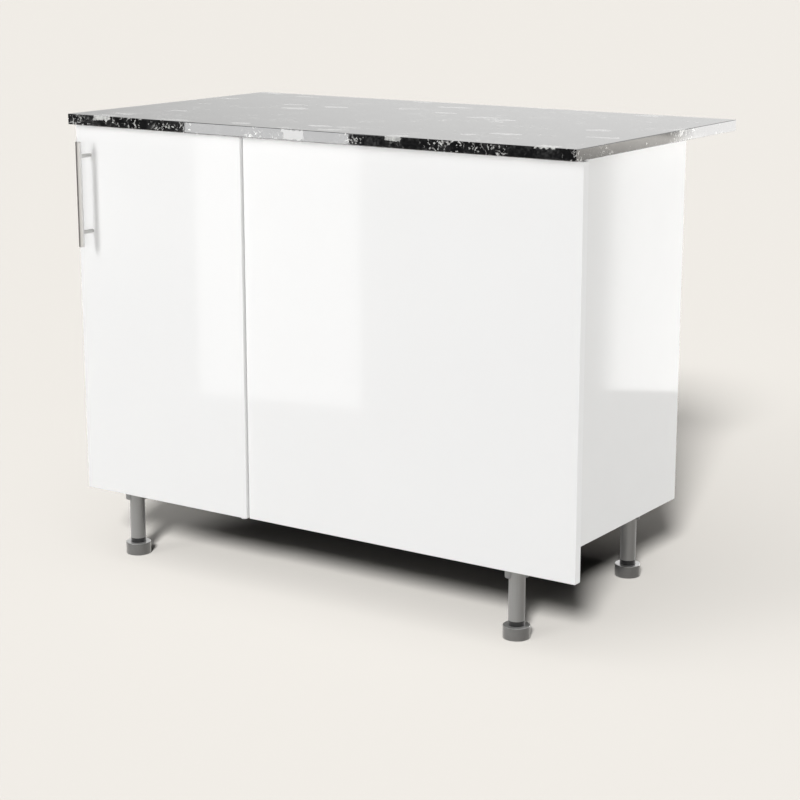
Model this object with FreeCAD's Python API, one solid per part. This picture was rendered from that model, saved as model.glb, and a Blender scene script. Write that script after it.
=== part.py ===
import FreeCAD, Part
import math
import os

os.makedirs("parts", exist_ok=True)

# Corner base cabinet for a kitchen: one hinged door, a fixed blind panel that hides the corner,
# an overhanging stone worktop and four levelling legs.
# Millimetres, +Z up, front towards -Y. The origin is on the floor under the middle of the overall box.

# Worktop
worktop_length = 1100.0
worktop_depth = 600.0
worktop_thickness = 20.0
worktop_overhang = 24.0
worktop_round = 1.2

# Carcass boards and the thin back
carcass_width = 1000.0
carcass_height = 720.0
board = 18.0
back_thickness = 3.0
back_inset = 16.0
groove_depth = 8.0
groove_clearance = 0.1
rail_depth = 100.0
post_depth = 80.0

# Shelf, its pins and the rows of pin holes
shelf_setback = 30.0
shelf_clearance = 1.0
shelf_rise = 350.0
pin_radius = 2.5
pin_grip = 9.0
pin_reach = 8.0
pin_collar_radius = 4.5
pin_collar = 1.5
pin_row_inset = 70.0
pin_pitch = 32.0
pin_row_count = 7

# Door and blind panel
front_thickness = 18.0
front_reveal = 2.0
front_round = 1.0
door_module = 400.0
seam_gap = 3.0
door_standoff = 5.0

# Pivot hinges at the door's lower and upper edge
swing_clearance = 0.6
pivot_plate_thickness = 1.5
pivot_plate_width = 44.0
pivot_plate_length = 48.0
pivot_plate_clearance = 0.15
plate_screw_side = 14.0
plate_screw_near = 12.0
plate_screw_far = 34.0
tongue_width = 12.0
pivot_pin_radius = 2.5
pivot_pin_length = 16.0
bush_radius = 4.0
bush_length = 18.0
bush_flange_radius = 5.5
bush_flange = 0.4

# Bar handle
handle_length = 200.0
handle_drop = 28.0
handle_inset = 35.5
handle_bar_radius = 5.5
handle_standoff = 31.5
handle_post_spacing = 145.0
handle_post_radius = 3.75
handle_end_round = 0.8

# Magnetic catch, its strike plate and the door's two buffers
catch_width = 44.0
catch_height = 13.0
catch_depth = 30.0
catch_inset = 70.0
catch_round = 2.0
catch_screw_side = 17.5
catch_screw_inset = 20.0
magnet_width = 26.0
magnet_height = 7.0
magnet_depth = 12.0
strike_width = 38.0
strike_height = 12.0
strike_thickness = 1.5
strike_screw_side = 12.0
catch_gap = 0.2
buffer_radius = 4.0
buffer_inset = 40.0
buffer_round = 1.2

# Levelling legs
leg_height = 145.0
leg_side_inset = 57.0
leg_front_inset = 56.0
leg_back_inset = 80.0
collar_radius = 19.0
collar_height = 16.0
lobe_radius = 8.0
lobe_offset = 14.5
lobe_height = 33.0
lobe_round = 3.0
lobe_turns = [45.0, 225.0]
socket_flange_radius = 33.0
socket_flange = 4.0
leg_screw_circle = 28.0
leg_screw_turns = [0.0, 90.0, 180.0, 270.0]
tube_radius = 15.0
tube_wall = 1.5
foot_radius = 25.0
foot_height = 24.0
foot_floor = 6.0
foot_round = 1.5
foot_clearance = 0.4
tube_lift = 12.0
insert_length = 20.0
stud_radius = 6.0
stud_top = 70.0
stud_grip = 3.0

# Board joints: dowels, and bolts drawn tight by round cam locks
dowel_radius = 4.0
dowel_length = 30.0
dowel_in_side = 11.0
post_dowel_length = 24.0
dowel_beside_cam = 32.0
cam_radius = 7.5
cam_height = 12.5
cam_inset = 24.0
cam_slot = 1.2
cam_slot_depth = 2.0
cam_bolt_radius = 3.0
cam_bolt_grip = 10.0
cam_bolt_bite = 3.5
floor_cam_front = 140.0
floor_cam_back = 190.0
rail_cam_inset = 34.0

# Angle brackets behind the blind panel, and the screw holes for a neighbouring cabinet
bracket_leg = 28.0
bracket_thickness = 2.0
bracket_width = 20.0
bracket_inset = 150.0
bracket_hole = 17.5
link_hole_radius = 2.5
link_inset = 37.0
link_end_inset = 64.0

# Anchors set into the worktop's under face for the bolts through the rails
anchor_radius = 5.0
anchor_height = 12.0
worktop_bolt_end = 110.0
worktop_bolt_inset = 25.0

# Fits
screw_clearance = 0.05
fit_clearance = 0.05
press_clearance = 0.02

# Screws by use: head radius, head height, shank radius, length under the head's face, countersunk or not
leg_screw = dict(head=3.4, head_height=2.0, shank=1.75, length=16.0, sunk=True)
plate_screw = dict(head=3.2, head_height=1.5, shank=1.75, length=14.0, sunk=True)
bracket_screw = dict(head=3.4, head_height=1.6, shank=1.75, length=13.0, sunk=False)
worktop_bolt = dict(head=5.5, head_height=3.5, shank=3.0, length=28.0, sunk=False)
catch_screw = dict(head=3.0, head_height=1.6, shank=1.6, length=22.0, sunk=True)
strike_screw = dict(head=2.8, head_height=1.4, shank=1.5, length=11.0, sunk=True)
handle_screw = dict(head=4.0, head_height=2.5, shank=2.0, length=30.0, sunk=False)

# Planes worked out from the sizes above
carcass_depth = worktop_depth - worktop_overhang - front_thickness
handle_reach = door_standoff + handle_standoff + handle_bar_radius
left = -worktop_length / 2
right = worktop_length / 2
panel_face = (handle_reach - front_thickness - carcass_depth) / 2
carcass_front = panel_face + front_thickness
carcass_back = carcass_front + carcass_depth
carcass_right = left + carcass_width
inner_left = left + board
inner_right = carcass_right - board
back_face = carcass_back - back_inset - back_thickness
door_back = carcass_front - door_standoff
door_face = door_back - front_thickness
seam = left + door_module
post_left = seam - board / 2
post_right = seam + board / 2
base = leg_height
floor_top = base + board
top = base + carcass_height
rail_under = top - board
fronts_low = base + front_reveal
fronts_high = top - front_reveal
door_left = left + seam_gap / 2
door_right = seam - seam_gap / 2
shelf_under = base + shelf_rise
handle_x = left + handle_inset
handle_y = door_face - handle_standoff
handle_top = fronts_high - handle_drop
handle_middle = handle_top - handle_length / 2

X = FreeCAD.Vector(1, 0, 0)
Y = FreeCAD.Vector(0, 1, 0)
Z = FreeCAD.Vector(0, 0, 1)


def point(x, y, z):
    return FreeCAD.Vector(x, y, z)


def around(x, y, radius, turn, z):
    """A point on a level circle round x and y, turned in degrees from +X."""
    angle = math.radians(turn)
    return point(x + radius * math.cos(angle), y + radius * math.sin(angle), z)


def box(x0, x1, y0, y1, z0, z1):
    return Part.makeBox(x1 - x0, y1 - y0, z1 - z0, point(x0, y0, z0))


def rod(radius, start, direction, length):
    return Part.makeCylinder(radius, length, start, direction)


def rounded(shape, radius):
    return shape.makeFillet(radius, shape.Edges)


def rims(shape, height):
    """The round edges of a turned piece that lie at one height."""
    return [e for e in shape.Edges if len(e.Vertexes) == 1 and abs(e.CenterOfMass.z - height) < 0.01]


def screw(kind, place, direction, grow=0.0):
    """A screw whose head seats at place and whose shank runs along direction; grow makes its hole."""
    head = kind["head"] + grow
    shank = kind["shank"] + grow
    if kind["sunk"]:
        body = Part.makeCone(head, shank, kind["head_height"])
        body = body.fuse(Part.makeCylinder(shank, kind["length"] + grow))
        face = 0.0
    else:
        body = Part.makeCylinder(head, kind["head_height"], point(0, 0, -kind["head_height"]))
        body = body.fuse(Part.makeCylinder(shank, kind["length"] + grow))
        face = -kind["head_height"]
    if grow == 0.0:
        arm = head * 0.55
        slot = head * 0.13
        depth = kind["head_height"] * 0.6
        body = body.cut(box(-arm, arm, -slot, slot, face, face + depth))
        body = body.cut(box(-slot, slot, -arm, arm, face, face + depth))
    body.Placement = FreeCAD.Placement(place, FreeCAD.Rotation(Z, direction))
    return body


def screws(kind, places):
    return Part.makeCompound([screw(kind, place, direction) for place, direction in places])


def drilled(shape, kind, places):
    """The piece with the holes of those screws that run through it."""
    for place, direction in places:
        hole = screw(kind, place, direction, screw_clearance)
        if hole.BoundBox.intersect(shape.BoundBox):
            shape = shape.cut(hole)
    return shape


def pivot_place(seam_room, back_room):
    """Inset from the door's edge and depth behind its face at which both swinging corners just clear."""
    depth = front_thickness / 2
    for step in range(40):
        inset = math.sqrt(2 * (front_thickness - depth) * back_room + back_room ** 2)
        depth = math.sqrt(2 * inset * seam_room + seam_room ** 2)
    return inset, depth


pivot_inset, pivot_depth = pivot_place(seam_gap - swing_clearance, door_standoff - swing_clearance)
pivot_x = door_right - pivot_inset
pivot_y = door_face + pivot_depth

# Places of the legs, in the order front left, front right, rear left, rear right
leg_left = left + leg_side_inset
leg_right = carcass_right - leg_side_inset
leg_front = carcass_front + leg_front_inset
leg_back = carcass_back - leg_back_inset
legs = {
    "fl": (leg_left, leg_front),
    "fr": (leg_right, leg_front),
    "rl": (leg_left, leg_back),
    "rr": (leg_right, leg_back),
}

# Places of the joints between boards: side's inner face, way into the board, y, the board's under face
board_ends = [(inner_left, 1), (inner_right, -1)]
floor_cams = [carcass_front + floor_cam_front, back_face - floor_cam_back]
rail_cams = [carcass_front + rail_cam_inset, back_face - rail_depth + rail_cam_inset]
cam_rows = [(y, base) for y in floor_cams] + [(y, rail_under) for y in rail_cams]
cam_places = [(face, way, y, under) for face, way in board_ends for y, under in cam_rows]
dowel_rows = [(y + dowel_beside_cam, under) for y, under in cam_rows]
dowel_places = [(face, way, y, under) for face, way in board_ends for y, under in dowel_rows]
post_dowel_y = carcass_front + post_depth / 2

# Places and directions of the screws
leg_screw_places = [
    (around(x, y, leg_screw_circle, turn, base - socket_flange), Z)
    for x, y in legs.values()
    for turn in leg_screw_turns
]
plate_screw_spots = [
    (-plate_screw_side, plate_screw_near),
    (plate_screw_side, plate_screw_near),
    (0.0, plate_screw_far),
]
lower_plate_screws = [(point(pivot_x + dx, carcass_front + dy, base), Z) for dx, dy in plate_screw_spots]
upper_plate_screws = [(point(pivot_x + dx, carcass_front + dy, top), -Z) for dx, dy in plate_screw_spots]
bracket_heights = [base + bracket_inset, top - bracket_inset]
bracket_corners = [(inner_right, -1), (post_right, 1)]
bracket_screw_places = []
for face, way in bracket_corners:
    for z in bracket_heights:
        on_board = point(face + way * bracket_thickness, carcass_front + bracket_hole, z)
        on_panel = point(face + way * bracket_hole, carcass_front + bracket_thickness, z)
        bracket_screw_places.append((on_board, -X * way))
        bracket_screw_places.append((on_panel, -Y))
worktop_bolt_x = [inner_left + worktop_bolt_end, inner_right - worktop_bolt_end]
worktop_bolt_y = [carcass_front + rail_depth - worktop_bolt_inset, back_face - worktop_bolt_inset]
worktop_bolt_places = [(point(x, y, rail_under), Z) for x in worktop_bolt_x for y in worktop_bolt_y]
catch_x = inner_left + catch_inset
catch_under = rail_under - catch_height
catch_screw_y = carcass_front + catch_screw_inset
catch_screw_x = [catch_x - catch_screw_side, catch_x + catch_screw_side]
catch_screw_places = [(point(x, catch_screw_y, catch_under), Z) for x in catch_screw_x]
strike_z = rail_under - catch_height / 2
strike_face = door_back + strike_thickness
strike_screw_x = [catch_x - strike_screw_side, catch_x + strike_screw_side]
strike_screw_places = [(point(x, strike_face, strike_z), -Y) for x in strike_screw_x]
handle_post_heights = [handle_middle - handle_post_spacing / 2, handle_middle + handle_post_spacing / 2]
handle_screw_places = [(point(handle_x, door_back, z), -Y) for z in handle_post_heights]


def dowel_hole(face, way, y, under):
    radius = dowel_radius + fit_clearance
    start = point(face - way * (dowel_in_side + fit_clearance), y, under + board / 2)
    return rod(radius, start, X * way, dowel_length + 2 * fit_clearance)


def cam_bolt_hole(face, way, y, under):
    radius = cam_bolt_radius + fit_clearance
    start = point(face - way * (cam_bolt_grip + fit_clearance), y, under + board / 2)
    return rod(radius, start, X * way, cam_bolt_grip + cam_inset)


def cam_hole(face, way, y, under):
    centre = point(face + way * cam_inset, y, under)
    return rod(cam_radius + fit_clearance, centre, Z, cam_height + fit_clearance)


def side_board(outer, way):
    """A side with its back groove, joint holes and two rows of pin holes; way points into the cabinet."""
    inner = outer + way * board
    shape = box(min(outer, inner), max(outer, inner), carcass_front, carcass_back, base, top)
    floor_of_groove = inner - way * groove_depth
    groove = box(
        min(inner, floor_of_groove),
        max(inner, floor_of_groove),
        back_face - groove_clearance,
        back_face + back_thickness + groove_clearance,
        base,
        top,
    )
    cutters = [groove]
    for face, end_way, y, under in cam_places:
        if face == inner:
            cutters.append(cam_bolt_hole(face, end_way, y, under))
    for face, end_way, y, under in dowel_places:
        if face == inner:
            cutters.append(dowel_hole(face, end_way, y, under))
    for y in (carcass_front + pin_row_inset, back_face - pin_row_inset):
        for step in range(pin_row_count):
            z = shelf_under - pin_radius + (step - pin_row_count // 2) * pin_pitch
            start = point(inner, y, z)
            cutters.append(rod(pin_radius + fit_clearance, start, X * -way, pin_grip + pin_collar))
    return shape.cut(Part.makeCompound(cutters))


def left_side():
    """The left side, with two through holes for screws into a neighbouring cabinet."""
    shape = side_board(left, 1)
    for z in (base + link_end_inset, top - link_end_inset):
        shape = shape.cut(rod(link_hole_radius, point(left, carcass_front + link_inset, z), X, board))
    return shape


def right_side():
    shape = side_board(carcass_right, -1)
    return drilled(shape, bracket_screw, bracket_screw_places)


def between_sides(y0, y1, under):
    """A board that spans from side to side, with the joint holes of its two ends."""
    shape = box(inner_left, inner_right, y0, y1, under, under + board)
    cutters = [cam_bolt_hole(*p) for p in cam_places if p[3] == under and y0 < p[2] < y1]
    cutters += [cam_hole(*p) for p in cam_places if p[3] == under and y0 < p[2] < y1]
    cutters += [dowel_hole(*p) for p in dowel_places if p[3] == under and y0 < p[2] < y1]
    return shape.cut(Part.makeCompound(cutters))


def plate_outline(z, height, grow):
    """The pivot plate seen from above: a rectangle under the board and a round-ended tongue to the pivot."""
    half = pivot_plate_width / 2 + grow
    tongue = tongue_width / 2 + grow
    body = box(
        pivot_x - half,
        pivot_x + half,
        carcass_front,
        carcass_front + pivot_plate_length + grow,
        z,
        z + height,
    )
    body = body.fuse(box(pivot_x - tongue, pivot_x + tongue, pivot_y, carcass_front, z, z + height))
    return body.fuse(rod(tongue, point(pivot_x, pivot_y, z), Z, height)).removeSplitter()


def bottom_panel():
    shape = between_sides(carcass_front, back_face, base)
    shape = shape.cut(plate_outline(base, pivot_plate_thickness, pivot_plate_clearance))
    shape = drilled(shape, leg_screw, leg_screw_places)
    shape = drilled(shape, plate_screw, lower_plate_screws)
    return shape.cut(post_dowel_hole(floor_top))


def front_rail():
    shape = between_sides(carcass_front, carcass_front + rail_depth, rail_under)
    recess = plate_outline(top - pivot_plate_thickness, pivot_plate_thickness, pivot_plate_clearance)
    shape = shape.cut(recess)
    shape = drilled(shape, plate_screw, upper_plate_screws)
    shape = drilled(shape, worktop_bolt, worktop_bolt_places)
    shape = drilled(shape, catch_screw, catch_screw_places)
    return shape.cut(post_dowel_hole(rail_under))


def rear_rail():
    shape = between_sides(back_face - rail_depth, back_face, rail_under)
    return drilled(shape, worktop_bolt, worktop_bolt_places)


def back_panel():
    reach = groove_depth - groove_clearance
    return box(inner_left - reach, inner_right + reach, back_face, back_face + back_thickness, base, top)


def post_dowel_hole(joint):
    length = post_dowel_length + 2 * fit_clearance
    start = point(seam, post_dowel_y, joint - length / 2)
    return rod(dowel_radius + fit_clearance, start, Z, length)


def front_post():
    """The upright behind the seam that carries the blind panel's inner edge."""
    shape = box(post_left, post_right, carcass_front, carcass_front + post_depth, floor_top, rail_under)
    shape = shape.cut(post_dowel_hole(floor_top)).cut(post_dowel_hole(rail_under))
    return drilled(shape, bracket_screw, bracket_screw_places)


def shelf():
    """A loose shelf, notched round the front post."""
    shape = box(
        inner_left + shelf_clearance,
        inner_right - shelf_clearance,
        carcass_front + shelf_setback,
        back_face - shelf_clearance,
        shelf_under,
        shelf_under + board,
    )
    notch = box(
        post_left - shelf_clearance,
        post_right + shelf_clearance,
        carcass_front,
        carcass_front + post_depth + shelf_clearance,
        shelf_under,
        shelf_under + board,
    )
    return shape.cut(notch)


def shelf_pin(face, way, y):
    centre = point(face - way * pin_grip, y, shelf_under - pin_radius)
    body = rod(pin_radius, centre, X * way, pin_grip + pin_reach)
    collar = rod(pin_collar_radius, point(face, y, shelf_under - pin_radius), X * way, pin_collar)
    room = box(face - board, face + board, y - board, y + board, shelf_under, shelf_under + board)
    return body.fuse(collar).removeSplitter().cut(room)


def shelf_pins():
    rows = (carcass_front + pin_row_inset, back_face - pin_row_inset)
    return Part.makeCompound([shelf_pin(face, way, y) for face, way in board_ends for y in rows])


def cam_bolts():
    bolts = []
    for face, way, y, under in cam_places:
        start = point(face - way * cam_bolt_grip, y, under + board / 2)
        length = cam_bolt_grip + cam_inset - cam_radius + cam_bolt_bite
        bolts.append(rod(cam_bolt_radius, start, X * way, length))
    return Part.makeCompound(bolts)


def cam_locks():
    """Round locks in the under faces, each with a mouth for its bolt and a cross slot for the driver."""
    locks = []
    for face, way, y, under in cam_places:
        centre = point(face + way * cam_inset, y, under)
        lock = rod(cam_radius, centre, Z, cam_height)
        lock = lock.cut(cam_bolt_hole(face, way, y, under))
        arm = cam_radius * 0.6
        half = cam_slot / 2
        deep = under + cam_slot_depth
        lock = lock.cut(box(centre.x - arm, centre.x + arm, y - half, y + half, under, deep))
        lock = lock.cut(box(centre.x - half, centre.x + half, y - arm, y + arm, under, deep))
        locks.append(lock)
    return Part.makeCompound(locks)


def wood_dowels():
    dowels = []
    for face, way, y, under in dowel_places:
        start = point(face - way * dowel_in_side, y, under + board / 2)
        dowels.append(rod(dowel_radius, start, X * way, dowel_length))
    for joint in (floor_top, rail_under):
        start = point(seam, post_dowel_y, joint - post_dowel_length / 2)
        dowels.append(rod(dowel_radius, start, Z, post_dowel_length))
    return Part.makeCompound(dowels)


def blind_panel():
    shape = box(seam + seam_gap / 2, right, panel_face, carcass_front, fronts_low, fronts_high)
    return drilled(rounded(shape, front_round), bracket_screw, bracket_screw_places)


def angle_bracket(face, way, z):
    low = z - bracket_width / 2
    high = z + bracket_width / 2
    far = face + way * bracket_leg
    near = face + way * bracket_thickness
    on_panel_y = carcass_front + bracket_thickness
    on_board_y = carcass_front + bracket_leg
    on_panel = box(min(face, far), max(face, far), carcass_front, on_panel_y, low, high)
    on_board = box(min(face, near), max(face, near), carcass_front, on_board_y, low, high)
    bracket = on_panel.fuse(on_board).removeSplitter()
    return drilled(bracket, bracket_screw, bracket_screw_places)


def panel_brackets():
    spots = [(face, way, z) for face, way in bracket_corners for z in bracket_heights]
    return Part.makeCompound([angle_bracket(*spot) for spot in spots])


def worktop():
    """The worktop board, flush with both fronts' outer edges and standing out past the door."""
    nose = panel_face - worktop_overhang
    shape = rounded(box(left, right, nose, carcass_back, top, top + worktop_thickness), worktop_round)
    for place, direction in worktop_bolt_places:
        seat = point(place.x, place.y, top)
        shape = shape.cut(rod(anchor_radius + press_clearance, seat, Z, anchor_height + press_clearance))
    return shape


def worktop_anchors():
    """Threaded sleeves in the worktop's under face, one over each bolt."""
    sleeves = []
    for place, direction in worktop_bolt_places:
        sleeve = rod(anchor_radius, point(place.x, place.y, top), Z, anchor_height)
        sleeves.append(drilled(sleeve, worktop_bolt, worktop_bolt_places))
    return Part.makeCompound(sleeves)


def pivot_plate(z, places):
    plate = plate_outline(z, pivot_plate_thickness, 0.0)
    hole = pivot_pin_radius + press_clearance
    plate = plate.cut(rod(hole, point(pivot_x, pivot_y, z), Z, pivot_plate_thickness))
    return drilled(plate, plate_screw, places)


def pivot_pin(start, direction):
    pin = rod(pivot_pin_radius, start, direction, pivot_pin_length)
    far = start.z + direction.z * pivot_pin_length
    return pin.makeChamfer(0.6, rims(pin, far))


def pivot_bush(edge, direction):
    """A flanged bush pressed into the door's edge; direction points into the door."""
    start = point(pivot_x, pivot_y, edge)
    bush = rod(bush_radius, start, direction, bush_length)
    bush = bush.fuse(rod(bush_flange_radius, start, -direction, bush_flange)).removeSplitter()
    mouth = start - direction * bush_flange
    bore = rod(pivot_pin_radius + fit_clearance, mouth, direction, pivot_pin_length)
    return bush.cut(bore)


def door():
    shape = rounded(box(door_left, door_right, door_face, door_back, fronts_low, fronts_high), front_round)
    hole = bush_radius + press_clearance
    shape = shape.cut(rod(hole, point(pivot_x, pivot_y, fronts_low), Z, bush_length + fit_clearance))
    shape = shape.cut(rod(hole, point(pivot_x, pivot_y, fronts_high), -Z, bush_length + fit_clearance))
    shape = drilled(shape, handle_screw, handle_screw_places)
    return drilled(shape, strike_screw, strike_screw_places)


def handle_bar():
    bar = rod(handle_bar_radius, point(handle_x, handle_y, handle_top - handle_length), Z, handle_length)
    return bar.makeFillet(handle_end_round, rims(bar, handle_top) + rims(bar, handle_top - handle_length))


def handle_post(z):
    """A post from the door to the bar, saddled to the bar and tapped for its screw."""
    post = rod(handle_post_radius, point(handle_x, door_face, z), -Y, handle_standoff)
    low = point(handle_x, handle_y, z - handle_bar_radius)
    saddle = rod(handle_bar_radius, low, Z, 2 * handle_bar_radius)
    return drilled(post.cut(saddle), handle_screw, handle_screw_places)


def catch_body():
    shape = box(
        catch_x - catch_width / 2,
        catch_x + catch_width / 2,
        carcass_front,
        carcass_front + catch_depth,
        catch_under,
        rail_under,
    )
    upright = [e for e in shape.Edges if abs(e.tangentAt(e.FirstParameter).z) > 0.9]
    shape = shape.makeFillet(catch_round, upright)
    return drilled(shape.cut(catch_magnet(fit_clearance)), catch_screw, catch_screw_places)


def catch_magnet(grow=0.0):
    """The magnet block, which stands out of the catch almost to the strike plate."""
    face = strike_face + catch_gap
    return box(
        catch_x - magnet_width / 2 - grow,
        catch_x + magnet_width / 2 + grow,
        face,
        carcass_front + magnet_depth + grow,
        strike_z - magnet_height / 2 - grow,
        strike_z + magnet_height / 2 + grow,
    )


def strike_plate():
    shape = box(
        catch_x - strike_width / 2,
        catch_x + strike_width / 2,
        door_back,
        strike_face,
        strike_z - strike_height / 2,
        strike_z + strike_height / 2,
    )
    return drilled(shape, strike_screw, strike_screw_places)


def door_buffers():
    """Two soft dots on the left side's front edge that the closed door rests on."""
    dots = []
    for z in (base + buffer_inset, top - buffer_inset):
        dot = rod(buffer_radius, point(left + board / 2, carcass_front, z), -Y, door_standoff - catch_gap)
        tip = [e for e in dot.Edges if len(e.Vertexes) == 1 and e.CenterOfMass.y < carcass_front - 1.0]
        dots.append(dot.makeFillet(buffer_round, tip))
    return Part.makeCompound(dots)


def leg_socket(x, y):
    """The holder under the cabinet: flange, short collar and two round-ended lobes that grip the tube."""
    shape = rod(socket_flange_radius, point(x, y, base - socket_flange), Z, socket_flange)
    shape = shape.fuse(rod(collar_radius, point(x, y, base - collar_height), Z, collar_height))
    for turn in lobe_turns:
        lobe = rod(lobe_radius, around(x, y, lobe_offset, turn, base - lobe_height), Z, lobe_height)
        shape = shape.fuse(lobe.makeFillet(lobe_round, rims(lobe, base - lobe_height)))
    bore = rod(tube_radius + fit_clearance, point(x, y, base - lobe_height), Z, lobe_height - socket_flange)
    return drilled(shape.removeSplitter().cut(bore), leg_screw, leg_screw_places)


def leg_tube(x, y):
    length = base - socket_flange - tube_lift
    tube = rod(tube_radius, point(x, y, tube_lift), Z, length)
    return tube.cut(rod(tube_radius - tube_wall, point(x, y, tube_lift), Z, length))


def leg_insert(x, y):
    """The threaded plug in the tube's lower end that the stud screws into."""
    plug = rod(tube_radius - tube_wall - fit_clearance, point(x, y, tube_lift), Z, insert_length)
    return plug.cut(rod(stud_radius + fit_clearance, point(x, y, tube_lift), Z, insert_length))


def leg_stud(x, y):
    stud = rod(stud_radius, point(x, y, stud_grip), Z, stud_top - stud_grip)
    return stud.makeChamfer(1.0, rims(stud, stud_top))


def leg_foot(x, y):
    """The foot: a round cup that rises round the tube, with a flat rim."""
    foot = rod(foot_radius, point(x, y, 0), Z, foot_height)
    foot = foot.makeFillet(foot_round, rims(foot, 0) + rims(foot, foot_height))
    foot = foot.cut(rod(tube_radius + foot_clearance, point(x, y, foot_floor), Z, foot_height))
    return foot.cut(rod(stud_radius + press_clearance, point(x, y, stud_grip), Z, foot_height))


pieces = {
    "left_side": left_side(),
    "right_side": right_side(),
    "bottom_panel": bottom_panel(),
    "front_rail": front_rail(),
    "rear_rail": rear_rail(),
    "back_panel": back_panel(),
    "front_post": front_post(),
    "shelf": shelf(),
    "shelf_pins": shelf_pins(),
    "cam_bolts": cam_bolts(),
    "cam_locks": cam_locks(),
    "wood_dowels": wood_dowels(),
    "blind_panel": blind_panel(),
    "panel_brackets": panel_brackets(),
    "bracket_screws": screws(bracket_screw, bracket_screw_places),
    "worktop": worktop(),
    "worktop_anchors": worktop_anchors(),
    "worktop_bolts": screws(worktop_bolt, worktop_bolt_places),
    "lower_pivot_plate": pivot_plate(base, lower_plate_screws),
    "upper_pivot_plate": pivot_plate(top - pivot_plate_thickness, upper_plate_screws),
    "lower_pivot_pin": pivot_pin(point(pivot_x, pivot_y, base), Z),
    "upper_pivot_pin": pivot_pin(point(pivot_x, pivot_y, top), -Z),
    "pivot_plate_screws": screws(plate_screw, lower_plate_screws + upper_plate_screws),
    "door": door(),
    "lower_pivot_bush": pivot_bush(fronts_low, Z),
    "upper_pivot_bush": pivot_bush(fronts_high, -Z),
    "handle_bar": handle_bar(),
    "handle_post_lower": handle_post(handle_post_heights[0]),
    "handle_post_upper": handle_post(handle_post_heights[1]),
    "handle_screws": screws(handle_screw, handle_screw_places),
    "strike_plate": strike_plate(),
    "strike_screws": screws(strike_screw, strike_screw_places),
    "catch_body": catch_body(),
    "catch_magnet": catch_magnet(),
    "catch_screws": screws(catch_screw, catch_screw_places),
    "door_buffers": door_buffers(),
    "leg_screws": screws(leg_screw, leg_screw_places),
}
for corner, (x, y) in legs.items():
    pieces["leg_socket_" + corner] = leg_socket(x, y)
    pieces["leg_tube_" + corner] = leg_tube(x, y)
    pieces["leg_insert_" + corner] = leg_insert(x, y)
    pieces["leg_stud_" + corner] = leg_stud(x, y)
    pieces["leg_foot_" + corner] = leg_foot(x, y)

for node, shape in pieces.items():
    shape.exportStep("parts/" + node + ".step")
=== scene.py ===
import math

import bmesh
import bpy
from mathutils import Matrix, Vector


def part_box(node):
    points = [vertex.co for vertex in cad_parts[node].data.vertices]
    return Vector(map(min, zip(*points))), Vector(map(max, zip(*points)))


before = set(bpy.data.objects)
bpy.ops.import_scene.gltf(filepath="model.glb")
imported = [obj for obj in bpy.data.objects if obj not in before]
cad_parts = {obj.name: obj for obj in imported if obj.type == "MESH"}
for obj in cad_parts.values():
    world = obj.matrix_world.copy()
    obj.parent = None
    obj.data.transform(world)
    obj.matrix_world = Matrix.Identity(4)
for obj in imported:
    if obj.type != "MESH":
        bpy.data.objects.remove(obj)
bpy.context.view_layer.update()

# Carcass boards: two sides, floor, two rails, the post behind the seam and the loose shelf.
# Chipboard faced with white melamine, its front edges banded and the other cut edges left raw.
# The sides are lacquered to a gloss outside, where they show beside the fronts.
X, Y, Z = range(3)
edge_on = 0.5
square_on = 0.9
noise_low = 0.2
noise_middle = 0.5
noise_high = 0.8
melamine_white = (0.86, 0.86, 0.852, 1)
melamine_shade = (0.8342, 0.8342, 0.82644, 1)
melamine_cloud = 0.09
melamine_patch = 0.012
melamine_roughness = (0.34, 0.44)
melamine_specular = 0.25
lacquer_roughness = 0.06
chip_pale = (0.62, 0.46, 0.28, 1)
chip_dark = (0.30, 0.19, 0.10, 1)
chip_size = 0.0028
chip_blotch = 0.004
chip_tones = (0.5, 1.3)
raw_roughness = 0.8
band_depth = 0.0006
pebble_size = 0.0007
pebble_depth = 0.00002


def finish(name, **values):
    """A new material, with each value set on the shader's own socket."""
    material = bpy.data.materials.new(name)
    material.use_nodes = True
    shader = material.node_tree.nodes["Principled BSDF"]
    for socket, value in values.items():
        shader.inputs[socket.replace("_", " ")].default_value = value
    return material


def wire(material, kind, inputs, **settings):
    """Adds a node; each input is a plain value or the output of another node."""
    tree = material.node_tree
    node = tree.nodes.new("ShaderNode" + kind)
    for setting, value in settings.items():
        setattr(node, setting, value)
    for socket, value in inputs.items():
        if isinstance(value, bpy.types.NodeSocket):
            tree.links.new(value, node.inputs[socket])
        else:
            node.inputs[socket].default_value = value
    return node


def show(material, socket, value):
    """Leads a pattern to the shader."""
    shader = material.node_tree.nodes["Principled BSDF"]
    material.node_tree.links.new(value, shader.inputs[socket])


def shift(material, operation, first, second):
    """A sum on points or directions."""
    return wire(material, "VectorMath", {0: first, 1: second}, operation=operation).outputs[0]


def place(material, scale=(1, 1, 1), centre=(0, 0, 0)):
    """The point on the piece, in metres, measured from a centre and stretched."""
    spot = wire(material, "TexCoord", {}).outputs["Object"]
    return shift(material, "MULTIPLY", shift(material, "SUBTRACT", spot, centre), scale)


def facing(material, axis):
    """How far the piece's surface faces along one axis, from -1 to 1."""
    normal = wire(material, "TexCoord", {}).outputs["Normal"]
    return wire(material, "SeparateXYZ", {0: normal}).outputs[axis]


def along(material, axis):
    """How far along one axis the point lies, in metres."""
    return wire(material, "SeparateXYZ", {0: place(material)}).outputs[axis]


def maths(material, operation, first, second=0.0):
    """A sum on plain numbers."""
    return wire(material, "Math", {0: first, 1: second}, operation=operation).outputs[0]


def between(material, value, low, high, out_low=0.0, out_high=1.0):
    """A smooth step from out_low to out_high as a value goes from low to high."""
    inputs = {"Value": value, "From Min": low, "From Max": high, "To Min": out_low, "To Max": out_high}
    return wire(material, "MapRange", inputs, interpolation_type="SMOOTHSTEP").outputs["Result"]


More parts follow.
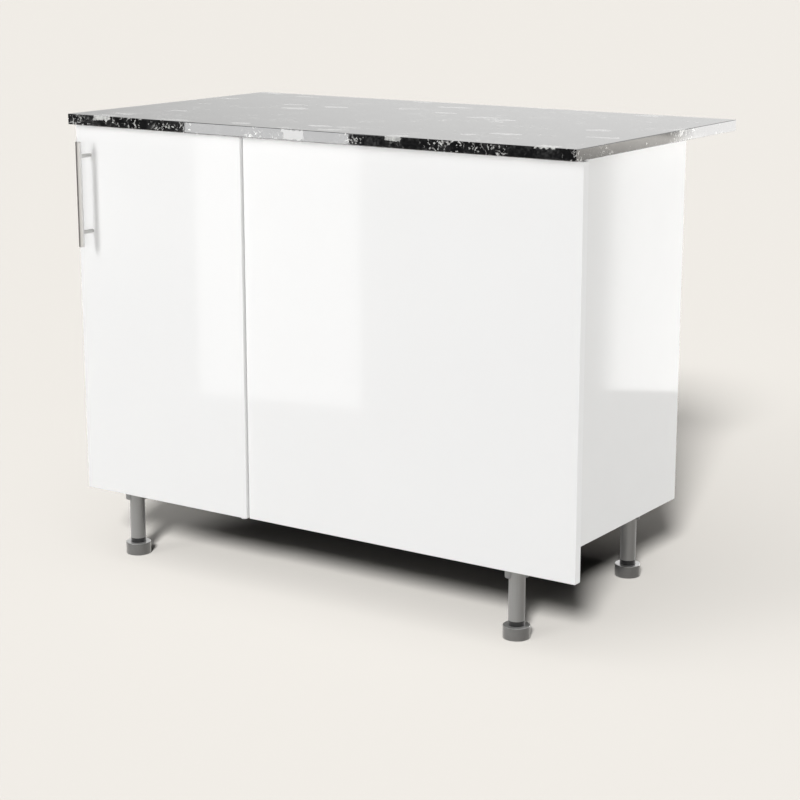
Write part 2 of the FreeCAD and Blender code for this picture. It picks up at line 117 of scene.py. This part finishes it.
def cloud(material, where, size, detail=3.0):
    """Soft noise with blotches of about the given size in metres."""
    inputs = {"Vector": where, "Scale": 1.0 / size, "Detail": detail}
    return wire(material, "TexNoise", inputs).outputs["Fac"]


def cells(material, where, size):
    """Angular grains of about the given size in metres."""
    return wire(material, "TexVoronoi", {"Vector": where, "Scale": 1.0 / size}).outputs


def blend(material, share, first, second):
    """A colour between two others."""
    return wire(material, "Mix", {0: share, 6: first, 7: second}, data_type="RGBA").outputs[2]


def relief(material, height, depth):
    """Raises the surface by a pattern, depth metres at its highest."""
    bump = wire(material, "Bump", {"Height": height, "Distance": depth})
    show(material, "Normal", bump.outputs["Normal"])


def dress(material, *nodes):
    """Gives CAD pieces a material."""
    for node in nodes:
        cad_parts[node].material_slots[0].material = material


def faced_board(node, flat_axis, outward=None):
    """Melamine on the broad faces and front edge, chips elsewhere, gloss on an outward face."""
    board = finish("melamine_" + node, Specular_IOR_Level=melamine_specular)
    flat = between(board, maths(board, "ABSOLUTE", facing(board, flat_axis)), edge_on, square_on)
    front_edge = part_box(node)[0].y
    band = maths(board, "LESS_THAN", along(board, Y), front_edge + band_depth)
    covered = maths(board, "MAXIMUM", flat, band)
    chip = cells(board, place(board), chip_size)["Distance"]
    chip_shade = maths(board, "ADD", chip, cloud(board, place(board), chip_blotch))
    chips = blend(board, between(board, chip_shade, *chip_tones), chip_pale, chip_dark)
    clouds = cloud(board, place(board), melamine_cloud)
    white = blend(board, clouds, melamine_white, melamine_shade)
    show(board, "Base Color", blend(board, covered, chips, white))
    patches = cloud(board, place(board), melamine_patch)
    satin = between(board, patches, noise_low, noise_high, *melamine_roughness)
    rough = maths(board, "MAXIMUM", satin, maths(board, "SUBTRACT", raw_roughness, covered))
    if outward is not None:
        towards = maths(board, "MULTIPLY", facing(board, X), outward)
        outside = between(board, towards, edge_on, square_on)
        unlacquered = maths(board, "MULTIPLY", rough, maths(board, "SUBTRACT", 1.0, outside))
        lacquered = maths(board, "MULTIPLY", outside, lacquer_roughness)
        rough = maths(board, "ADD", unlacquered, lacquered)
    show(board, "Roughness", rough)
    pebble = cloud(board, place(board), pebble_size, detail=1.0)
    relief(board, maths(board, "MULTIPLY", pebble, rough), pebble_depth)
    dress(board, node)


faced_board("left_side", X, outward=-1)
faced_board("right_side", X, outward=1)
faced_board("front_post", X)
for lying in ("bottom_panel", "front_rail", "rear_rail", "shelf"):
    faced_board(lying, Z)

# Back panel: a 3 mm hardboard sheet slid into grooves in the sides.
# Its inner face is painted white; its outer face is bare brown fibre with the press screen's mesh.
hardboard_brown = (0.27, 0.16, 0.085, 1)
hardboard_dark = (0.19, 0.11, 0.058, 1)
hardboard_tones = (0.3, 0.7)
hardboard_roughness = (0.5, 0.68)
fibre_stretch = (1, 1, 0.4)
fibre_size = 0.0022
fibre_share = 0.7
pressing_size = 0.16
pressing_share = 0.3
screen_pitch = 0.0022
screen_depth = 0.00015


def ripple(material, distance, pitch):
    """A wave from -1 to 1 that comes back at every pitch, in metres."""
    return maths(material, "SINE", maths(material, "MULTIPLY", distance, math.tau / pitch))


hardboard = finish("painted_hardboard")
inner_face = between(hardboard, facing(hardboard, Y), -edge_on, -square_on)
outer_face = maths(hardboard, "SUBTRACT", 1.0, inner_face)
fibre = cloud(hardboard, place(hardboard, fibre_stretch), fibre_size, detail=6.0)
pressing = cloud(hardboard, place(hardboard), pressing_size, detail=2.0)
fine_shade = maths(hardboard, "MULTIPLY", fibre, fibre_share)
broad_shade = maths(hardboard, "MULTIPLY", pressing, pressing_share)
shade = between(hardboard, maths(hardboard, "ADD", fine_shade, broad_shade), *hardboard_tones)
brown = blend(hardboard, shade, hardboard_brown, hardboard_dark)
show(hardboard, "Base Color", blend(hardboard, inner_face, brown, melamine_white))
show(hardboard, "Roughness", between(hardboard, fibre, noise_low, noise_high, *hardboard_roughness))
mesh_across = ripple(hardboard, along(hardboard, X), screen_pitch)
mesh_up = ripple(hardboard, along(hardboard, Z), screen_pitch)
screen = maths(hardboard, "MULTIPLY", mesh_across, mesh_up)
outer_screen = maths(hardboard, "MULTIPLY", screen, outer_face)
relief(hardboard, maths(hardboard, "ADD", outer_screen, fibre), screen_depth)
dress(hardboard, "back_panel")

# Board joints: glued beech dowels, and steel bolts drawn tight by round cam locks.
# The bolts are zinc plated, the cams die-cast zinc with a driver cross in their open end.
beech_pale = (0.66, 0.47, 0.29, 1)
beech_dark = (0.45, 0.29, 0.16, 1)
beech_tones = (0.35, 0.65)
beech_roughness = 0.55
grain_stretch = (0.12, 1, 1)
grain_size = 0.0012
grain_depth = 0.0001
zinc_pale = (0.70, 0.71, 0.73, 1)
zinc_dark = (0.55, 0.56, 0.59, 1)
zinc_tones = (0.25, 0.75)
zinc_roughness = (0.22, 0.4)
spangle_size = 0.0016
zinc_patch = 0.004
plating_size = 0.0005
plating_depth = 0.00001
cast_grey = (0.52, 0.52, 0.53, 1)
cast_pale = (0.66, 0.66, 0.66, 1)
cast_tones = (0.3, 0.7)
cast_roughness = (0.38, 0.55)
cast_skin = 0.0009
cast_depth = 0.00006

beech = finish("beech", Roughness=beech_roughness)
grain = cloud(beech, place(beech, grain_stretch), grain_size, detail=4.0)
show(beech, "Base Color", blend(beech, between(beech, grain, *beech_tones), beech_pale, beech_dark))
relief(beech, grain, grain_depth)
dress(beech, "wood_dowels")

zinc = finish("zinc_plate", Metallic=1.0)
spangle = cells(zinc, place(zinc), spangle_size)["Color"]
patch = cloud(zinc, place(zinc), zinc_patch)
show(zinc, "Base Color", blend(zinc, maths(zinc, "MULTIPLY", spangle, patch), zinc_pale, zinc_dark))
show(zinc, "Roughness", between(zinc, patch, *zinc_tones, *zinc_roughness))
relief(zinc, cloud(zinc, place(zinc), plating_size), plating_depth)
dress(zinc, "cam_bolts")

cast = finish("die_cast_zinc", Metallic=1.0)
skin = cloud(cast, place(cast), cast_skin, detail=5.0)
show(cast, "Base Color", blend(cast, skin, cast_grey, cast_pale))
show(cast, "Roughness", between(cast, skin, *cast_tones, *cast_roughness))
relief(cast, skin, cast_depth)
dress(cast, "cam_locks")

# Legs: a moulded holder screwed under the carcass grips a satin grey steel tube, black towards its lower
# end.
# A threaded stud runs from a plug in the tube's lower end into a round foot that turns to level it.
# The foot is turned from grey metal and clear coated; its top is painted lighter, a painted highlight
# from above.
socket_pale = (0.44, 0.44, 0.434, 1)
socket_dark = (0.38, 0.38, 0.376, 1)
socket_roughness = (0.38, 0.5)
plug_black = (0.022, 0.022, 0.024, 1)
plug_grey = (0.035, 0.035, 0.037, 1)
plug_roughness = (0.4, 0.55)
spark_size = 0.0006
spark_tones = (0.3, 0.7)
spark_depth = 0.00003
flow_stretch = (1, 1, 0.4)
flow_size = 0.02
tube_pale = (0.415, 0.415, 0.41, 1)
tube_dark = (0.355, 0.355, 0.351, 1)
tube_roughness = (0.3, 0.36)
tube_black_below = 0.033
brushing_stretch = (1, 1, 0.02)
brushing_size = 0.0012
brushing_depth = 0.000002
brushing_pull = 0.4
wipe_size = 0.03
leg_metal = 0.3
tube_finish = {"Metallic": leg_metal, "Sheen_Weight": 1.0, "Sheen_Roughness": 0.45}
foot_finish = {"Metallic": leg_metal, "Coat_Weight": 1.0, "Coat_Roughness": 0.06}
foot_pale = (0.24, 0.24, 0.237, 1)
foot_dark = (0.19, 0.19, 0.188, 1)
foot_painted_top_light = (0.80, 0.80, 0.79, 1)
painted_top_light_turn = (0.35, 0.8)
foot_roughness = (0.14, 0.22)
tarnish_size = 0.008
tarnish_tones = (0.25, 0.75)
turning_pitch = 0.0006
turning_depth = 0.000002


def moulded(name, pale, dark, roughness):
    """Plastic with the fine spark texture of its mould and faint flow marks."""
    plastic = finish(name)
    spark = cloud(plastic, place(plastic), spark_size, detail=2.0)
    flow = cloud(plastic, place(plastic, flow_stretch), flow_size)
    show(plastic, "Base Color", blend(plastic, flow, pale, dark))
    show(plastic, "Roughness", between(plastic, spark, *spark_tones, *roughness))
    relief(plastic, spark, spark_depth)
    return plastic


def brushed(name, pale, dark, roughness, black_below=None, **values):
    """Steel with a fine upright brushing and faint wiped patches, black below a given height."""
    steel = finish(name, Anisotropic=brushing_pull, **values)
    brushing = cloud(steel, place(steel, brushing_stretch), brushing_size, detail=2.0)
    wipe = cloud(steel, place(steel), wipe_size)
    colour = blend(steel, brushing, pale, dark)
    if black_below is not None:
        # The steel's colour turns black below the given height.
        below_black_height = maths(steel, "LESS_THAN", along(steel, Z), black_below)
        colour = blend(steel, below_black_height, colour, plug_black)
    show(steel, "Base Color", colour)
    show(steel, "Roughness", between(steel, wipe, noise_low, noise_high, *roughness))
    relief(steel, brushing, brushing_depth)
    return steel


def turned_foot(corner):
    """Metal with the fine rings of the lathe about the foot's own axis, and a painted highlight on its
    top.
    """
    metal = finish("turned_foot_" + corner, **foot_finish)
    low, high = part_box("leg_foot_" + corner)
    axis = ((low.x + high.x) / 2, (low.y + high.y) / 2, 0)
    from_axis = place(metal, (1, 1, 0), axis)
    radius = wire(metal, "VectorMath", {0: from_axis}, operation="LENGTH").outputs["Value"]
    tarnish = cloud(metal, place(metal), tarnish_size)
    # Painted light: faces that look up take a lighter colour, standing in for light falling from above.
    painted_top_light = between(metal, facing(metal, Z), *painted_top_light_turn)
    grey = blend(metal, tarnish, foot_pale, foot_dark)
    show(metal, "Base Color", blend(metal, painted_top_light, grey, foot_painted_top_light))
    show(metal, "Roughness", between(metal, tarnish, *tarnish_tones, *foot_roughness))
    relief(metal, ripple(metal, radius, turning_pitch), turning_depth)
    return metal


socket_plastic = moulded("socket_plastic", socket_pale, socket_dark, socket_roughness)
plug_plastic = moulded("plug_plastic", plug_black, plug_grey, plug_roughness)
tube_steel = brushed("tube_steel", tube_pale, tube_dark, tube_roughness, black_below=tube_black_below, **tube_finish)
dress(zinc, "leg_screws")
for corner in ("fl", "fr", "rl", "rr"):
    dress(turned_foot(corner), "leg_foot_" + corner)
    dress(socket_plastic, "leg_socket_" + corner)
    dress(tube_steel, "leg_tube_" + corner)
    dress(plug_plastic, "leg_insert_" + corner)
    dress(zinc, "leg_stud_" + corner)

# Pivot hinges, fixed half: a flat steel plate let into the carcass floor and one into the front rail.
# A pin stands on each plate's tongue, in front of the carcass, and carries the door.
dress(zinc, "lower_pivot_plate", "upper_pivot_plate", "pivot_plate_screws")
dress(zinc, "lower_pivot_pin", "upper_pivot_pin")

# Fronts: the door and the blind panel, 18 mm fibreboard lacquered high gloss white.
# The inner faces are satin melamine; the blind panel is screwed to steel angle brackets.
lacquer_white = (0.885, 0.885, 0.88, 1)
lacquer_shade = (0.875, 0.875, 0.872, 1)
lacquer_specular = 0.22
mist_size = 0.15
gloss_patch = 0.04
gloss_roughness = (0.05, 0.06)
inside_roughness = 0.35
peel_size = 0.006
peel_depth = 0.0000015

lacquer = finish("gloss_lacquer", Specular_IOR_Level=lacquer_specular)
mist = cloud(lacquer, place(lacquer), mist_size)
show(lacquer, "Base Color", blend(lacquer, mist, lacquer_white, lacquer_shade))
gloss_patches = cloud(lacquer, place(lacquer), gloss_patch)
gloss = between(lacquer, gloss_patches, noise_low, noise_high, *gloss_roughness)
inside = between(lacquer, facing(lacquer, Y), edge_on, square_on)
satin_inside = maths(lacquer, "MULTIPLY", inside, inside_roughness)
show(lacquer, "Roughness", maths(lacquer, "ADD", gloss, satin_inside))
relief(lacquer, cloud(lacquer, place(lacquer), peel_size, detail=1.0), peel_depth)
dress(lacquer, "blind_panel", "door")
dress(zinc, "panel_brackets", "bracket_screws")

# Pivot hinges, moving half: a flanged bush pressed into the door's lower and upper edge.
# Natural nylon, off-white and slightly waxy.
nylon_pale = (0.74, 0.71, 0.64, 1)
nylon_dark = (0.66, 0.63, 0.56, 1)
nylon_roughness = (0.32, 0.42)
nylon = moulded("nylon", nylon_pale, nylon_dark, nylon_roughness)
dress(nylon, "lower_pivot_bush", "upper_pivot_bush")

# Handle: a round bar on two posts, each held by a screw from inside the door.
# Stainless steel, brushed along the bar; the posts get a darker copy of the same steel as painted shade.
bar_pale = (0.78, 0.774, 0.763, 1)
bar_dark = (0.69, 0.684, 0.675, 1)
post_painted_shade_pale = (0.64, 0.635, 0.627, 1)
post_painted_shade_dark = (0.56, 0.556, 0.549, 1)
handle_roughness = (0.30, 0.35)
bar_steel = brushed("bar_steel", bar_pale, bar_dark, handle_roughness, Metallic=1.0)
# Painted shade: the posts take a darker copy of the bar's steel, for how light falls on them.
shaded_post_steel = brushed("shaded_post_steel", post_painted_shade_pale, post_painted_shade_dark, handle_roughness, Metallic=1.0)
dress(bar_steel, "handle_bar")
dress(shaded_post_steel, "handle_post_lower", "handle_post_upper")
dress(zinc, "handle_screws")

# Catch: a white moulded body with a ferrite magnet, screwed up under the front rail.
# It holds a steel strike plate on the door, and the closed door rests on two pale rubber dots.
catch_white = (0.78, 0.78, 0.77, 1)
catch_shade = (0.73, 0.73, 0.72, 1)
catch_roughness = (0.36, 0.46)
ferrite_black = (0.018, 0.018, 0.019, 1)
ferrite_grey = (0.045, 0.045, 0.047, 1)
ferrite_roughness = (0.5, 0.7)
buffer_pale = (0.70, 0.70, 0.68, 1)
buffer_dark = (0.62, 0.62, 0.60, 1)
buffer_roughness = (0.25, 0.4)
dress(moulded("catch_plastic", catch_white, catch_shade, catch_roughness), "catch_body")
dress(moulded("ferrite", ferrite_black, ferrite_grey, ferrite_roughness), "catch_magnet")
dress(moulded("buffer_rubber", buffer_pale, buffer_dark, buffer_roughness), "door_buffers")
dress(zinc, "catch_screws", "strike_plate", "strike_screws")

# Shelf pins: zinc plated steel pegs with a collar, pushed into the rows of holes in the sides.
# The shelf lies loose on them.
dress(zinc, "shelf_pins")

# Worktop: a 20 mm slab of black stone with white crystal flecks, clusters and veins.
# Top and edges are polished to a mirror, the under face is only sawn.
# Brass sleeves set into the under face take the bolts that come up through the rails.
stone_black = (0.006, 0.006, 0.0065, 1)
stone_grey = (0.062, 0.062, 0.062, 1)
stone_ior = 2.4
crystal_white = (0.72, 0.72, 0.70, 1)
crystal_grey = (0.42, 0.42, 0.41, 1)
crystal_dull = (0.27, 0.27, 0.265, 1)
crystal_size = 0.007
crystal_tones = (0.35, 0.65)
white_nests = (
    ((-0.465, -0.291, 0.885), (0.021, 0.03, 0.008)),
    ((0.193, -0.291, 0.885), (0.016, 0.03, 0.008)),
    ((0.49, -0.291, 0.887), (0.02, 0.03, 0.004)),
)
white_nest_edge = 0.95
dull_nests = (
    ((-0.0165, -0.291, 0.8755), (0.0235, 0.03, 0.0085)),
    ((-0.031, -0.291, 0.882), (0.014, 0.03, 0.003)),
)
dull_nest_edge = 0.9
swarms = (
    ((-0.535, -0.291, 0.875), (0.014, 0.03, 0.014)),
    ((-0.39, -0.291, 0.875), (0.03, 0.03, 0.014)),
    ((-0.30, -0.291, 0.875), (0.05, 0.03, 0.014)),
    ((0.115, -0.291, 0.875), (0.025, 0.03, 0.014)),
    ((0.30, -0.291, 0.875), (0.06, 0.03, 0.014)),
    ((0.40, -0.291, 0.875), (0.025, 0.03, 0.014)),
    ((0.54, -0.291, 0.868), (0.02, 0.03, 0.008)),
)
swarm_edge = 0.5
swarm_pull = 0.13
fold_crowd = 130.0
fold_reach = 0.012
drift_size = 0.07
drift_tones = (0.5, 0.64)
drift_share = 0.8
vein_size = 0.011
vein_width = (0.035, 0.02)
break_size = 0.009
break_tones = (0.47, 0.55)
fleck_size = 0.0032
fleck_tones = (0.93, 0.96)
streak_stretch = (0.5, 1.2, 1)
streak_size = 0.025
streak_tones = (0.84, 0.86)
streak_start = (-0.285, -0.275)
mottle_size = 0.004
mottle_tones = (0.4, 0.66)
mottle_patch = 0.03
mottle_patch_tones = (0.35, 0.65)
polish_patch = 0.02
polish_roughness = (0.02, 0.045)
sawn_roughness = 0.5
saw_size = 0.0015
saw_depth = 0.0002
brass_pale = (0.80, 0.60, 0.30, 1)
brass_dark = (0.62, 0.43, 0.19, 1)
brass_patch = 0.003
brass_roughness = (0.4, 0.25)
knurl_pitch = 0.0012
knurl_depth = 0.0002

stone = finish("polished_stone", IOR=stone_ior)
fold_inputs = {"Vector": place(stone), "Scale": fold_crowd, "Detail": 5.0}
fold = wire(stone, "TexNoise", fold_inputs).outputs["Color"]
fold = shift(stone, "SUBTRACT", fold, (noise_middle, noise_middle, noise_middle))
fold = wire(stone, "VectorMath", {0: fold, "Scale": fold_reach}, operation="SCALE").outputs[0]
folded = shift(stone, "ADD", place(stone), fold)


def near(spots, edge):
    """How near the stone is to the closest of some listed spots, 1 inside them and 0 outside."""
    share = 0.0
    for spot, reach in spots:
        away = shift(stone, "DIVIDE", shift(stone, "SUBTRACT", folded, spot), reach)
        away = wire(stone, "VectorMath", {0: away}, operation="ABSOLUTE").outputs[0]
        away = wire(stone, "SeparateXYZ", {0: away}).outputs
        far = maths(stone, "MAXIMUM", away["X"], maths(stone, "MAXIMUM", away["Y"], away["Z"]))
        share = maths(stone, "MAXIMUM", between(stone, far, 1.0, edge), share)
    return share


drifts = between(stone, cloud(stone, place(stone), drift_size), *drift_tones)
drifts = maths(stone, "MULTIPLY", drifts, drift_share)
swarm = maths(stone, "MAXIMUM", drifts, near(swarms, swarm_edge))
from_vein = maths(stone, "SUBTRACT", cloud(stone, folded, vein_size, detail=1.0), noise_middle)
veins = between(stone, maths(stone, "ABSOLUTE", from_vein), *vein_width)
breaks = between(stone, cloud(stone, place(stone), break_size), *break_tones)
lace = maths(stone, "MULTIPLY", maths(stone, "MULTIPLY", veins, breaks), swarm)
fleck_pull = maths(stone, "MULTIPLY", swarm, swarm_pull)
fleck_grain = maths(stone, "ADD", cells(stone, folded, fleck_size)["Color"], fleck_pull)
flecks = between(stone, fleck_grain, *fleck_tones)
long_grain = shift(stone, "MULTIPLY", folded, streak_stretch)
streaks = between(stone, cells(stone, long_grain, streak_size)["Color"], *streak_tones)
behind_edge = between(stone, along(stone, Y), *streak_start)
streaks = maths(stone, "MULTIPLY", streaks, behind_edge)
pale = maths(stone, "MAXIMUM", maths(stone, "MAXIMUM", lace, flecks), streaks)
pale = maths(stone, "MAXIMUM", pale, near(white_nests, white_nest_edge))
mottle = between(stone, cloud(stone, folded, mottle_size, detail=4.0), *mottle_tones)
mottled_part = between(stone, cloud(stone, place(stone), mottle_patch), *mottle_patch_tones)
mottle = maths(stone, "MULTIPLY", mottle, mottled_part)
dark = blend(stone, mottle, stone_black, stone_grey)
crystal_shade = between(stone, cloud(stone, folded, crystal_size), *crystal_tones)
crystal = blend(stone, crystal_shade, crystal_grey, crystal_white)
flecked = blend(stone, pale, dark, crystal)
show(stone, "Base Color", blend(stone, near(dull_nests, dull_nest_edge), flecked, crystal_dull))
sawn = between(stone, facing(stone, Z), -edge_on, -square_on)
polish_patches = cloud(stone, place(stone), polish_patch)
polish = between(stone, polish_patches, noise_low, noise_high, *polish_roughness)
sawn_part = maths(stone, "MULTIPLY", sawn, sawn_roughness)
show(stone, "Roughness", maths(stone, "ADD", polish, sawn_part))
saw_marks = maths(stone, "MULTIPLY", sawn, cloud(stone, place(stone), saw_size))
relief(stone, saw_marks, saw_depth)
dress(stone, "worktop")

brass = finish("brass", Metallic=1.0)
rising = maths(brass, "ADD", along(brass, X), along(brass, Z))
falling = maths(brass, "SUBTRACT", along(brass, X), along(brass, Z))
knurl_up = ripple(brass, rising, knurl_pitch)
knurl_down = ripple(brass, falling, knurl_pitch)
knurl = maths(brass, "MULTIPLY", knurl_up, knurl_down)
show(brass, "Base Color", blend(brass, cloud(brass, place(brass), brass_patch), brass_pale, brass_dark))
show(brass, "Roughness", between(brass, knurl, -1.0, 1.0, *brass_roughness))
relief(brass, knurl, knurl_depth)
dress(brass, "worktop_anchors")
dress(zinc, "worktop_bolts")

# Floor and background: a plain pale studio floor that runs out to a background of the same colour.
# The floor's own lamps are stronger than the cabinet's, and its colour is as much deeper.
# Gloss mirrors floor and room dark to the front and left, and a brighter strip of floor far behind.
backdrop = (0.871, 0.840, 0.791, 1)
backdrop_mirrored = (1.10, 1.095, 1.085, 1)
room_dark = (0.02, 0.02, 0.02, 1)
ambient = (0.012, 0.012, 0.012, 1)
floor_light = 10.0
floor_half = 40.0
bounce_share = 0.2
strip_share = 2.5
dark_from = (-0.7, -2.2)
dark_slant = 0.55
dark_left = (1.15, 0.75)
strip_near = (6.0, 8.0)
strip_far = (7.9, 7.5)
pale_behind = (0.35, 0.95)
pale_right = (-0.4, 0.1)


def dimmed(colour, share):
    """A colour with its three parts made smaller or larger alike."""
    return tuple(share * part for part in colour[:3]) + (1,)


floor_tone = dimmed(backdrop, 1 / floor_light)
floor_dark = dimmed(room_dark, 1 / floor_light)
floor_bounce = dimmed(floor_tone, bounce_share)
floor_strip = dimmed(floor_tone, strip_share)

floor_mesh = bpy.data.meshes.new("floor")
sheet = bmesh.new()
bmesh.ops.create_grid(sheet, x_segments=1, y_segments=1, size=floor_half)
sheet.to_mesh(floor_mesh)
sheet.free()
floor = bpy.data.objects.new("floor", floor_mesh)
bpy.context.scene.collection.objects.link(floor)


def mirrored_ray(material, rays):
    """1 for what is seen in gloss or through glass, 0 for all else."""
    return maths(material, "MAXIMUM", rays["Is Glossy Ray"], rays["Is Transmission Ray"])


ground = finish("studio_floor", Roughness=1.0, Specular_IOR_Level=0.0)
rays = wire(ground, "LightPath", {}).outputs
in_front = between(ground, along(ground, Y), *dark_from)
slant = maths(ground, "MULTIPLY", along(ground, Y), dark_slant)
leftward = between(ground, maths(ground, "SUBTRACT", along(ground, X), slant), *dark_left)
dark_part = maths(ground, "MULTIPLY", in_front, leftward)
dark_part = maths(ground, "MULTIPLY", dark_part, mirrored_ray(ground, rays))
strip = between(ground, along(ground, Y), *strip_near)
strip = maths(ground, "MULTIPLY", strip, between(ground, along(ground, Y), *strip_far))
strip = maths(ground, "MULTIPLY", strip, mirrored_ray(ground, rays))
ground_colour = blend(ground, dark_part, floor_tone, floor_dark)
ground_colour = blend(ground, strip, ground_colour, floor_strip)
ground_colour = blend(ground, rays["Is Diffuse Ray"], ground_colour, floor_bounce)
show(ground, "Base Color", ground_colour)
floor_mesh.materials.append(ground)

world = bpy.data.worlds.new("studio")
bpy.context.scene.world = world
world.use_nodes = True
rays = wire(world, "LightPath", {}).outputs
outward = wire(world, "TexCoord", {}).outputs["Generated"]
toward = wire(world, "SeparateXYZ", {0: outward}).outputs
behind = between(world, toward["Y"], *pale_behind)
to_right = between(world, toward["X"], *pale_right)
room = blend(world, maths(world, "MAXIMUM", behind, to_right), room_dark, backdrop_mirrored)
seen = blend(world, mirrored_ray(world, rays), ambient, room)
seen = blend(world, rays["Is Camera Ray"], seen, backdrop)
world.node_tree.links.new(seen, world.node_tree.nodes["Background"].inputs["Color"])

# Lamps: softboxes stand round and over the cabinet; the key, front left, gives the handle's shadow.
# The front softbox is only mirrored, and not in the handle; the two right fills leave out the legs.
# Three far lamps, a key, a wide and a low one, light the floor alone and draw the shadow on it.


def lit_set(name, state, *pieces):
    """The only pieces that a lamp lights, or the only pieces that it leaves out."""
    chosen = bpy.data.collections.new(name)
    for piece in pieces:
        chosen.objects.link(piece)
    for link in chosen.collection_objects:
        link.light_linking.link_state = state
    return chosen


def pieces_of(start):
    """The CAD pieces whose names begin alike."""
    return [piece for name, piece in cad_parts.items() if name.startswith(start)]


floor_alone = lit_set("floor_alone", "INCLUDE", floor)
all_but_floor = lit_set("all_but_floor", "EXCLUDE", floor)
legs_left_out = lit_set("legs_left_out", "EXCLUDE", floor, *pieces_of("leg_"))
handle_left_out = lit_set("handle_left_out", "EXCLUDE", floor, *pieces_of("handle_"))


def lamp(name, kind, matrix, lit):
    """A lamp that the camera doesn't see, for the pieces of one set."""
    holder = bpy.data.objects.new(name, bpy.data.lights.new(name, kind))
    holder.matrix_world = matrix
    holder.visible_camera = False
    holder.light_linking.receiver_collection = lit
    bpy.context.scene.collection.objects.link(holder)
    return holder


def softbox(name, first, second, high, brightness,
            low=0.0, mirrors=False, lights=True, lit=all_but_floor):
    """An upright panel between two points on the floor plan, lit towards the left of that line."""
    start = Vector((*first, low))
    run = Vector((*second, low)) - start
    up = Vector((0, 0, 1))
    across = run.normalized()
    turn = Matrix((across, up, across.cross(up))).transposed().to_4x4()
    middle = start + run / 2 + up * (high - low) / 2
    panel = lamp(name, "AREA", Matrix.Translation(middle) @ turn, lit)
    panel.visible_glossy = mirrors
    panel.visible_diffuse = lights
    panel.data.shape = "RECTANGLE"
    panel.data.size = run.length
    panel.data.size_y = high - low
    panel.data.energy = brightness * math.pi * panel.data.size * panel.data.size_y
    return panel.data


def floor_lamp(name, turn, height, softness, strength):
    """A far lamp, turned in degrees from the front towards the right and raised above the floor."""
    swing = Matrix.Rotation(math.radians(turn), 4, "Z")
    raised = Matrix.Rotation(math.radians(90 - height), 4, "X")
    sun = lamp(name, "SUN", swing @ raised, floor_alone)
    sun.data.angle = math.radians(softness)
    sun.data.energy = strength * floor_light


softbox("front_softbox", first=(-1.205, -1.409), second=(-0.750, -1.487), low=0.03, high=1.85,
        brightness=3.05, mirrors=True, lights=False, lit=handle_left_out)
softbox("back_softbox", first=(1.27, 1.63), second=(0.62, 1.96), high=1.05, brightness=2.6, mirrors=True)
softbox("key", first=(-2.455, -4.05), second=(-1.255, -4.49), low=1.1, high=4.0, brightness=9.3)
softbox("front_fill", first=(-6.0, -3.6), second=(6.5, -3.6), high=1.1, brightness=1.90)
softbox("right_fill", first=(3.2, -1.2), second=(3.2, 1.8), high=1.0, brightness=3.35, lit=legs_left_out)
softbox("front_right_fill", first=(12.92, -25.11), second=(23.62, -15.47), high=8.7,
        brightness=7.7, lit=legs_left_out)
softbox("left_fill", first=(-3.2, 1.8), second=(-3.2, -0.4), high=1.8, brightness=3.2)
softbox("back_fill", first=(1.6, 3.2), second=(-1.6, 3.2), high=1.0, brightness=3.8)
floor_lamp("floor_key", turn=24.5, height=30.3, softness=11.2, strength=4.15)
floor_lamp("floor_wide", turn=0.0, height=60.9, softness=74.0, strength=1.067)
floor_lamp("floor_low", turn=-24.0, height=23.3, softness=24.0, strength=0.30)

glow = softbox("back_glow", first=(1.33, 1.60), second=(1.27, 1.63), high=1.05,
               brightness=2.2, mirrors=True)
glow.use_nodes = True
on_panel = wire(glow, "NewGeometry", {}).outputs["Parametric"]
across_panel = wire(glow, "SeparateXYZ", {0: on_panel}).outputs["X"]
fading = between(glow, across_panel, 0.0, 1.0)
glow.node_tree.links.new(fading, glow.node_tree.nodes["Emission"].inputs["Strength"])

overhead_place = (0, 0.1, 3.0)
overhead_size = 1.6
overhead_brightness = 2.6
overhead = lamp("overhead", "AREA", Matrix.Translation(overhead_place), all_but_floor)
overhead.visible_glossy = False
overhead.data.size = overhead_size
overhead.data.energy = overhead_brightness * math.pi * overhead_size ** 2

# Camera: a long lens at the place that the photograph was taken from.
# Place, turn, dip and lens were fitted to the cabinet's straight edges.
camera_place = (2.1096, -3.1072, 1.2386)
camera_turn = 34.01
camera_dip = 13.41
camera_lens = 90.27
camera_film = 36.0

view = bpy.data.cameras.new("camera")
view.lens = camera_lens
view.sensor_width = camera_film
camera = bpy.data.objects.new("camera", view)
camera.location = camera_place
camera.rotation_euler = (math.radians(90 - camera_dip), 0, math.radians(camera_turn))
bpy.context.scene.collection.objects.link(camera)
bpy.context.scene.camera = camera
bpy.context.scene.view_settings.view_transform = "Standard"
